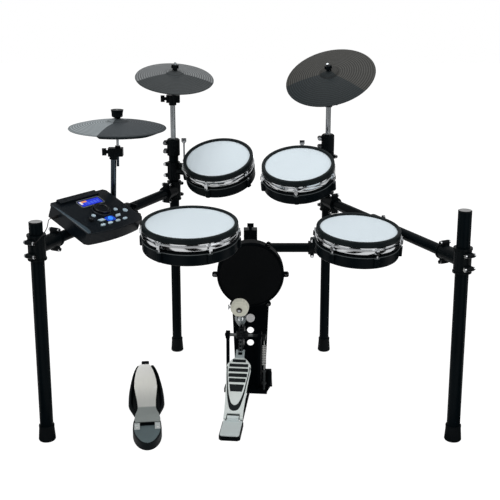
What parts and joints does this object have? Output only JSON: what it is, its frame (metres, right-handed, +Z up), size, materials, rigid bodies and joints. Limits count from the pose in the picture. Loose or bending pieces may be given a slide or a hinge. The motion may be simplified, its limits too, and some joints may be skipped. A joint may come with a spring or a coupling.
{
  "type": "electronic drum kit",
  "caption": "Electronic drum kit: mesh pads and rubber cymbals on a black tube rack, with a kick tower and chain pedal, a hi-hat control pedal and a sound module.",
  "frame": {"origin": "middle of the bounding box on the floor", "axes": "+X to the player's right, +Y away from the player, +Z up"},
  "size_m": [1.229, 0.8423, 1.0375],
  "materials": {
    "black_tube": "satin black powder coat",
    "black_rubber": "matte black rubber",
    "clamp_plastic": "satin black moulded plastic",
    "bright_steel": "bright chrome plate",
    "shell_plastic": "fine-grained black plastic",
    "mesh_head": "woven mesh, pale",
    "hoop_rubber": "satin dark grey rubber",
    "cymbal_rubber": "dark grey rubber with fine rings",
    "tower_steel": "black powder coat",
    "pedal_aluminium": "cast and brushed",
    "felt": "pressed wool felt, cream",
    "chain_steel": "dark oiled steel",
    "spring_steel": "drawn steel wire",
    "control_plastic": "black moulded plastic",
    "plate_steel": "brushed along its length",
    "module_plastic": "semi-gloss navy black",
    "display_glass": "lit colour display",
    "key_plastic": "pale translucent plastic",
    "lit_key": "lit blue key",
    "lead_rubber": "black cable sheath"
  },
  "bodies": {
    "rack": {"front_legs": "black_tube", "rear_uprights": "black_tube", "side_arms": "black_tube", "cross_tube": "black_tube", "tube_ends": "black_rubber", "pad_rods": "bright_steel", "cymbal_nuts": "clamp_plastic", "kick_shell": "shell_plastic", "kick_head": "black_rubber", "kick_tower": "tower_steel", "pedal_base": "tower_steel", "heel_plate": "pedal_aluminium", "return_spring": "spring_steel", "hihat_pedal_base": "control_plastic", "module_case": "module_plastic", "module_panel": "module_plastic", "module_display": "display_glass", "module_cable": "lead_rubber", "cable_plug": "lead_rubber", "stand_tubes": "bright_steel", "wing_screws": "clamp_plastic", "rack_clamps": "clamp_plastic", "clamp_bolts": "bright_steel"},
    "snare_pad": {"snare_shell": "shell_plastic", "snare_head": "mesh_head", "snare_hoop": "hoop_rubber", "snare_rim": "bright_steel"},
    "floor_tom_pad": {"floor_tom_shell": "shell_plastic", "floor_tom_head": "mesh_head", "floor_tom_hoop": "hoop_rubber", "floor_tom_rim": "bright_steel"},
    "left_tom_pad": {"left_tom_shell": "shell_plastic", "left_tom_head": "mesh_head", "left_tom_hoop": "hoop_rubber", "left_tom_rim": "bright_steel"},
    "right_tom_pad": {"right_tom_shell": "shell_plastic", "right_tom_head": "mesh_head", "right_tom_hoop": "hoop_rubber", "right_tom_rim": "bright_steel"},
    "hihat_cymbal_pad": {"hihat_cymbal": "cymbal_rubber"},
    "crash_cymbal_pad": {"crash_cymbal": "cymbal_rubber"},
    "ride_cymbal_pad": {"ride_cymbal": "cymbal_rubber"},
    "kick_footboard": {"footboard": "pedal_aluminium"},
    "beater": {"cam_axle": "bright_steel", "beater_shaft": "bright_steel", "beater_head": "felt"},
    "chain": {"drive_chain": "chain_steel"},
    "control_plate": {"hihat_footplate": "plate_steel"},
    "jog": {"jog_dial": "module_plastic"},
    "volume": {"volume_knob": "module_plastic"},
    "key_centre_cap": {"key_centre": "lit_key"},
    "key_left_wedge_cap": {"key_left_wedge": "key_plastic"},
    "key_right_wedge_cap": {"key_right_wedge": "key_plastic"},
    "key_left_round_cap": {"key_left_round": "key_plastic"},
    "key_right_round_cap": {"key_right_round": "key_plastic"},
    "key_large_round_cap": {"key_large_round": "key_plastic"},
    "key_row_1_cap": {"key_row_1": "key_plastic"},
    "key_row_2_cap": {"key_row_2": "key_plastic"},
    "key_row_3_cap": {"key_row_3": "key_plastic"},
    "key_row_4_cap": {"key_row_4": "key_plastic"}
  },
  "joints": [
    {"name": "snare_tilt", "type": "hinge", "parent": "rack", "child": "snare_pad", "pos_m": [-0.29453, -0.14975, 0.56178], "axis": [-0.5592, -0.8256, -0.0751], "range_deg": [-8, 8]},
    {"name": "floor_tom_tilt", "type": "hinge", "parent": "rack", "child": "floor_tom_pad", "pos_m": [0.3358, -0.05306, 0.53571], "axis": [-0.9839, 0.1688, 0.0591], "range_deg": [-8, 8]},
    {"name": "left_tom_tilt", "type": "hinge", "parent": "rack", "child": "left_tom_pad", "pos_m": [-0.19409, 0.24602, 0.68236], "axis": [-0.5983, -0.7161, -0.3594], "range_deg": [-8, 8]},
    {"name": "right_tom_tilt", "type": "hinge", "parent": "rack", "child": "right_tom_pad", "pos_m": [0.16508, 0.16716, 0.70873], "axis": [-0.9917, 0.1227, -0.0378], "range_deg": [-8, 8]},
    {"name": "hihat_rock", "type": "hinge", "parent": "rack", "child": "hihat_cymbal_pad", "pos_m": [-0.39555, -0.0308, 0.87475], "axis": [0.9998, 0, -0.0175], "range_deg": [-4, 4]},
    {"name": "crash_rock", "type": "hinge", "parent": "rack", "child": "crash_cymbal_pad", "pos_m": [-0.24498, 0.28447, 0.97977], "axis": [0.9969, 0.0206, -0.0757], "range_deg": [-4, 4]},
    {"name": "ride_rock", "type": "hinge", "parent": "rack", "child": "ride_cymbal_pad", "pos_m": [0.25686, 0.277, 0.98083], "axis": [0.9711, -0.1164, 0.2082], "range_deg": [-4, 4]},
    {"name": "footboard_hinge", "type": "hinge", "parent": "rack", "child": "kick_footboard", "pos_m": [-0.04997, -0.27536, 0.024], "axis": [0.9948, -0.1019, 0], "range_deg": [-6.35, 0], "stiffness_Nm_per_rad": 8, "springref_deg": 28.65, "deforming": ["return_spring"]},
    {"name": "beater_swing", "type": "hinge", "parent": "rack", "child": "beater", "pos_m": [-0.025, -0.0316, 0.18699], "axis": [0.9948, -0.1019, 0], "range_deg": [-34.2, 0.2]},
    {"name": "chain_lean", "type": "hinge", "parent": "kick_footboard", "child": "chain", "pos_m": [-0.02971, -0.07756, 0.15019], "axis": [0.9948, -0.1019, 0], "range_deg": [-0.2, 18.72]},
    {"name": "control_plate_hinge", "type": "hinge", "parent": "rack", "child": "control_plate", "pos_m": [-0.30658, -0.30657, 0.03], "axis": [0.9936, 0.1132, 0], "range_deg": [-6.5, 0], "stiffness_Nm_per_rad": 12, "springref_deg": 11.46},
    {"name": "jog_turn", "type": "hinge", "parent": "rack", "child": "jog", "pos_m": [-0.43235, -0.16929, 0.63088], "axis": [0.2992, -0.2254, 0.9272], "continuous": true},
    {"name": "volume_turn", "type": "hinge", "parent": "rack", "child": "volume", "pos_m": [-0.45153, -0.24249, 0.61926], "axis": [0.2992, -0.2254, 0.9272], "range_deg": [-150, 150]},
    {"name": "key_centre_press", "type": "slide", "parent": "rack", "child": "key_centre_cap", "axis": [-0.2992, 0.2254, -0.9272], "range_m": [0, 0.0014], "stiffness_N_per_m": 150, "springref_m": -0.003},
    {"name": "key_left_wedge_press", "type": "slide", "parent": "rack", "child": "key_left_wedge_cap", "axis": [-0.2992, 0.2254, -0.9272], "range_m": [0, 0.0014], "stiffness_N_per_m": 150, "springref_m": -0.003},
    {"name": "key_right_wedge_press", "type": "slide", "parent": "rack", "child": "key_right_wedge_cap", "axis": [-0.2992, 0.2254, -0.9272], "range_m": [0, 0.0014], "stiffness_N_per_m": 150, "springref_m": -0.003},
    {"name": "key_left_round_press", "type": "slide", "parent": "rack", "child": "key_left_round_cap", "axis": [-0.2992, 0.2254, -0.9272], "range_m": [0, 0.0014], "stiffness_N_per_m": 150, "springref_m": -0.003},
    {"name": "key_right_round_press", "type": "slide", "parent": "rack", "child": "key_right_round_cap", "axis": [-0.2992, 0.2254, -0.9272], "range_m": [0, 0.0014], "stiffness_N_per_m": 150, "springref_m": -0.003},
    {"name": "key_large_round_press", "type": "slide", "parent": "rack", "child": "key_large_round_cap", "axis": [-0.2992, 0.2254, -0.9272], "range_m": [0, 0.0014], "stiffness_N_per_m": 150, "springref_m": -0.003},
    {"name": "key_row_1_press", "type": "slide", "parent": "rack", "child": "key_row_1_cap", "axis": [-0.2992, 0.2254, -0.9272], "range_m": [0, 0.0014], "stiffness_N_per_m": 150, "springref_m": -0.003},
    {"name": "key_row_2_press", "type": "slide", "parent": "rack", "child": "key_row_2_cap", "axis": [-0.2992, 0.2254, -0.9272], "range_m": [0, 0.0014], "stiffness_N_per_m": 150, "springref_m": -0.003},
    {"name": "key_row_3_press", "type": "slide", "parent": "rack", "child": "key_row_3_cap", "axis": [-0.2992, 0.2254, -0.9272], "range_m": [0, 0.0014], "stiffness_N_per_m": 150, "springref_m": -0.003},
    {"name": "key_row_4_press", "type": "slide", "parent": "rack", "child": "key_row_4_cap", "axis": [-0.2992, 0.2254, -0.9272], "range_m": [0, 0.0014], "stiffness_N_per_m": 150, "springref_m": -0.003}
  ],
  "couplings": [
    {"joint": "beater_swing", "follows": "footboard_hinge", "ratio": 5.3523},
    {"joint": "chain_lean", "follows": "footboard_hinge", "ratio": -2.9003}
  ]
}
